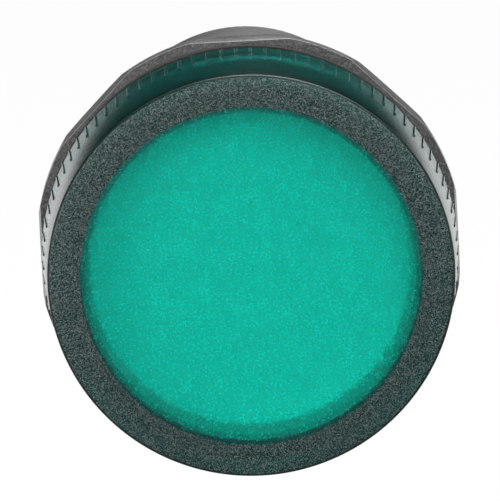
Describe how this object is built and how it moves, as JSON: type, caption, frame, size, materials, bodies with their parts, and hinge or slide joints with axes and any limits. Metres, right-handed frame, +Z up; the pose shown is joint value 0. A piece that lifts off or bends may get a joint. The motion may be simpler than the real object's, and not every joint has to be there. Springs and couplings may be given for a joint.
{
  "type": "panel pilot light",
  "caption": "Round panel pilot light with a flat frosted green lens, threaded barrel, gasket, lock nut and screw terminals at the rear.",
  "frame": {"origin": "on the axis, in the plane where the gasket's rear face meets the panel", "axes": "+Y along the axis from the lens to the terminals, +Z up through the keyway, +X to the right seen from the lens"},
  "size_m": [0.0296, 0.045, 0.0296],
  "materials": {
    "lens": "moulded translucent green, finely frosted face, glossy skirt",
    "diffuser": "opal white",
    "housing": "moulded, fine matt skin",
    "seal": "smooth",
    "gasket": "smooth, brownish black",
    "washer": "zinc plated",
    "nut": "moulded, fine matt skin",
    "reflector": "white, smooth",
    "board": "solder mask over glass laminate",
    "led": "white case with a yellow window",
    "film_case": "moulded yellow case",
    "can": "sleeved can",
    "chip_case": "moulded black case",
    "resistor": "tan lacquer",
    "block": "moulded, matt",
    "brass": "bent strip",
    "steel": "zinc plated"
  },
  "bodies": {
    "root": {"housing": "housing", "lens_seal": "seal", "panel_gasket": "gasket", "reflector": "reflector", "led_board": "board", "led_middle": "led", "led_1": "led", "led_2": "led", "led_3": "led", "led_4": "led", "led_5": "led", "led_6": "led", "driver_board": "board", "dropper_capacitor": "film_case", "smoothing_capacitor": "can", "bridge_rectifier": "chip_case", "series_resistor": "resistor", "bleed_resistor": "resistor", "terminal_block": "block", "contact_strip_left": "brass", "contact_strip_right": "brass"},
    "diffuser": {"diffuser": "diffuser"},
    "lens": {"lens_cap": "lens"},
    "washer": {"thrust_washer": "washer"},
    "nut": {"lock_nut": "nut"},
    "clamp_left": {"clamp_plate_left": "steel"},
    "screw_left": {"terminal_screw_left": "steel"},
    "clamp_right": {"clamp_plate_right": "steel"},
    "screw_right": {"terminal_screw_right": "steel"}
  },
  "joints": [
    {"name": "diffuser_lift", "type": "slide", "parent": "root", "child": "diffuser", "axis": [0, -1, 0], "range_m": [0, 0.003]},
    {"name": "lens_turn", "type": "hinge", "parent": "diffuser", "child": "lens", "pos_m": [0, 0, 0], "axis": [0, -1, 0], "range_deg": [0, 720]},
    {"name": "washer_travel", "type": "slide", "parent": "root", "child": "washer", "axis": [0, 1, 0], "range_m": [0, 0.006]},
    {"name": "nut_turn", "type": "hinge", "parent": "washer", "child": "nut", "pos_m": [0, 0, 0], "axis": [0, 1, 0], "range_deg": [0, 2160]},
    {"name": "clamp_lift_left", "type": "slide", "parent": "root", "child": "clamp_left", "axis": [0, 1, 0], "range_m": [0, 0.0015]},
    {"name": "screw_turn_left", "type": "hinge", "parent": "clamp_left", "child": "screw_left", "pos_m": [-0.0044, 0.029, 0], "axis": [0, 1, 0], "range_deg": [0, 1080]},
    {"name": "clamp_lift_right", "type": "slide", "parent": "root", "child": "clamp_right", "axis": [0, 1, 0], "range_m": [0, 0.0015]},
    {"name": "screw_turn_right", "type": "hinge", "parent": "clamp_right", "child": "screw_right", "pos_m": [0.0044, 0.029, 0], "axis": [0, 1, 0], "range_deg": [0, 1080]}
  ],
  "couplings": [
    {"joint": "lens_turn", "follows": "diffuser_lift", "rad_per_m": 4188.8},
    {"joint": "nut_turn", "follows": "washer_travel", "rad_per_m": 6283.2},
    {"joint": "screw_turn_left", "follows": "clamp_lift_left", "rad_per_m": 12566},
    {"joint": "screw_turn_right", "follows": "clamp_lift_right", "rad_per_m": 12566}
  ]
}
